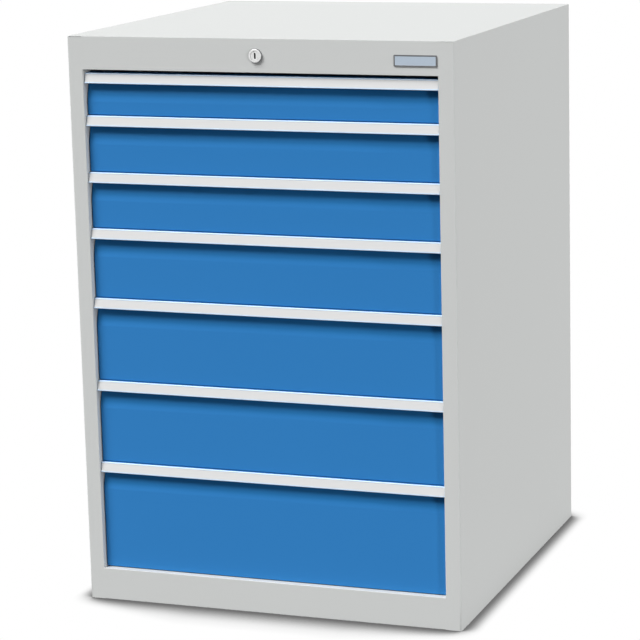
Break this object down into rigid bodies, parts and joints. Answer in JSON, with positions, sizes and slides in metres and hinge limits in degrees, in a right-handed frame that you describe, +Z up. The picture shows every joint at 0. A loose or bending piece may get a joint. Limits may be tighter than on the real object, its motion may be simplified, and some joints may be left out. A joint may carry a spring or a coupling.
{
  "type": "industrial drawer cabinet",
  "caption": "Free-standing steel workshop cabinet with full-extension drawers of graded heights, full-width grip strips and one central lock.",
  "frame": {"origin": "centre of the footprint, on the floor; the footprint counts the lock that stands out of the front", "axes": "+X to the right as one faces the drawers, +Y from the front to the back, +Z up"},
  "size_m": [0.705, 0.74, 1.019],
  "materials": {
    "carcass_grey": "satin light grey powder coat",
    "front_blue": "satin blue powder coat",
    "handle_aluminium": "satin anodised extrusion with a pale label strip",
    "drawer_grey": "satin light grey powder coat",
    "zinc_steel": "bright zinc plated sheet",
    "lock_metal": "satin nickel",
    "plate": "bare pale plate with a dark edge line"
  },
  "bodies": {
    "cabinet": {"left_side_panel": "carcass_grey", "right_side_panel": "carcass_grey", "top_panel": "carcass_grey", "base_panel": "carcass_grey", "back_panel": "carcass_grey", "left_rail_frame": "zinc_steel", "right_rail_frame": "zinc_steel", "lock_rosette": "lock_metal", "name_plate": "plate", "rail_1_left_fixed": "zinc_steel", "rail_1_right_fixed": "zinc_steel", "rail_2_left_fixed": "zinc_steel", "rail_2_right_fixed": "zinc_steel", "rail_3_left_fixed": "zinc_steel", "rail_3_right_fixed": "zinc_steel", "rail_4_left_fixed": "zinc_steel", "rail_4_right_fixed": "zinc_steel", "rail_5_left_fixed": "zinc_steel", "rail_5_right_fixed": "zinc_steel", "rail_6_left_fixed": "zinc_steel", "rail_6_right_fixed": "zinc_steel", "rail_7_left_fixed": "zinc_steel", "rail_7_right_fixed": "zinc_steel"},
    "drawer_1": {"drawer_1_box": "drawer_grey", "drawer_1_front": "front_blue", "drawer_1_handle": "handle_aluminium"},
    "middle_rails_1": {"rail_1_left_middle": "zinc_steel", "rail_1_right_middle": "zinc_steel"},
    "drawer_2": {"drawer_2_box": "drawer_grey", "drawer_2_front": "front_blue", "drawer_2_handle": "handle_aluminium"},
    "middle_rails_2": {"rail_2_left_middle": "zinc_steel", "rail_2_right_middle": "zinc_steel"},
    "drawer_3": {"drawer_3_box": "drawer_grey", "drawer_3_front": "front_blue", "drawer_3_handle": "handle_aluminium"},
    "middle_rails_3": {"rail_3_left_middle": "zinc_steel", "rail_3_right_middle": "zinc_steel"},
    "drawer_4": {"drawer_4_box": "drawer_grey", "drawer_4_front": "front_blue", "drawer_4_handle": "handle_aluminium"},
    "middle_rails_4": {"rail_4_left_middle": "zinc_steel", "rail_4_right_middle": "zinc_steel"},
    "drawer_5": {"drawer_5_box": "drawer_grey", "drawer_5_front": "front_blue", "drawer_5_handle": "handle_aluminium"},
    "middle_rails_5": {"rail_5_left_middle": "zinc_steel", "rail_5_right_middle": "zinc_steel"},
    "drawer_6": {"drawer_6_box": "drawer_grey", "drawer_6_front": "front_blue", "drawer_6_handle": "handle_aluminium"},
    "middle_rails_6": {"rail_6_left_middle": "zinc_steel", "rail_6_right_middle": "zinc_steel"},
    "drawer_7": {"drawer_7_box": "drawer_grey", "drawer_7_front": "front_blue", "drawer_7_handle": "handle_aluminium"},
    "middle_rails_7": {"rail_7_left_middle": "zinc_steel", "rail_7_right_middle": "zinc_steel"},
    "lock_cylinder": {"lock_cylinder": "lock_metal"},
    "lock_bar": {"lock_bar": "zinc_steel"}
  },
  "joints": [
    {"name": "drawer_1_slide", "type": "slide", "parent": "cabinet", "child": "drawer_1", "axis": [0, -1, 0], "range_m": [0, 0.6]},
    {"name": "middle_rails_1_slide", "type": "slide", "parent": "cabinet", "child": "middle_rails_1", "axis": [0, -1, 0], "range_m": [0, 0.3]},
    {"name": "drawer_2_slide", "type": "slide", "parent": "cabinet", "child": "drawer_2", "axis": [0, -1, 0], "range_m": [0, 0.6]},
    {"name": "middle_rails_2_slide", "type": "slide", "parent": "cabinet", "child": "middle_rails_2", "axis": [0, -1, 0], "range_m": [0, 0.3]},
    {"name": "drawer_3_slide", "type": "slide", "parent": "cabinet", "child": "drawer_3", "axis": [0, -1, 0], "range_m": [0, 0.6]},
    {"name": "middle_rails_3_slide", "type": "slide", "parent": "cabinet", "child": "middle_rails_3", "axis": [0, -1, 0], "range_m": [0, 0.3]},
    {"name": "drawer_4_slide", "type": "slide", "parent": "cabinet", "child": "drawer_4", "axis": [0, -1, 0], "range_m": [0, 0.6]},
    {"name": "middle_rails_4_slide", "type": "slide", "parent": "cabinet", "child": "middle_rails_4", "axis": [0, -1, 0], "range_m": [0, 0.3]},
    {"name": "drawer_5_slide", "type": "slide", "parent": "cabinet", "child": "drawer_5", "axis": [0, -1, 0], "range_m": [0, 0.6]},
    {"name": "middle_rails_5_slide", "type": "slide", "parent": "cabinet", "child": "middle_rails_5", "axis": [0, -1, 0], "range_m": [0, 0.3]},
    {"name": "drawer_6_slide", "type": "slide", "parent": "cabinet", "child": "drawer_6", "axis": [0, -1, 0], "range_m": [0, 0.6]},
    {"name": "middle_rails_6_slide", "type": "slide", "parent": "cabinet", "child": "middle_rails_6", "axis": [0, -1, 0], "range_m": [0, 0.3]},
    {"name": "drawer_7_slide", "type": "slide", "parent": "cabinet", "child": "drawer_7", "axis": [0, -1, 0], "range_m": [0, 0.6]},
    {"name": "middle_rails_7_slide", "type": "slide", "parent": "cabinet", "child": "middle_rails_7", "axis": [0, -1, 0], "range_m": [0, 0.3]},
    {"name": "lock_turn", "type": "hinge", "parent": "cabinet", "child": "lock_cylinder", "pos_m": [0, -0.366, 0.99], "axis": [0, 1, 0], "range_deg": [0, 90]},
    {"name": "lock_bar_lift", "type": "slide", "parent": "cabinet", "child": "lock_bar", "axis": [0, 0, 1], "range_m": [0, 0.01]}
  ],
  "couplings": [
    {"joint": "middle_rails_1_slide", "follows": "drawer_1_slide", "ratio": 0.5},
    {"joint": "middle_rails_2_slide", "follows": "drawer_2_slide", "ratio": 0.5},
    {"joint": "middle_rails_3_slide", "follows": "drawer_3_slide", "ratio": 0.5},
    {"joint": "middle_rails_4_slide", "follows": "drawer_4_slide", "ratio": 0.5},
    {"joint": "middle_rails_5_slide", "follows": "drawer_5_slide", "ratio": 0.5},
    {"joint": "middle_rails_6_slide", "follows": "drawer_6_slide", "ratio": 0.5},
    {"joint": "middle_rails_7_slide", "follows": "drawer_7_slide", "ratio": 0.5},
    {"joint": "lock_turn", "follows": "lock_bar_lift", "rad_per_m": 157.08}
  ]
}
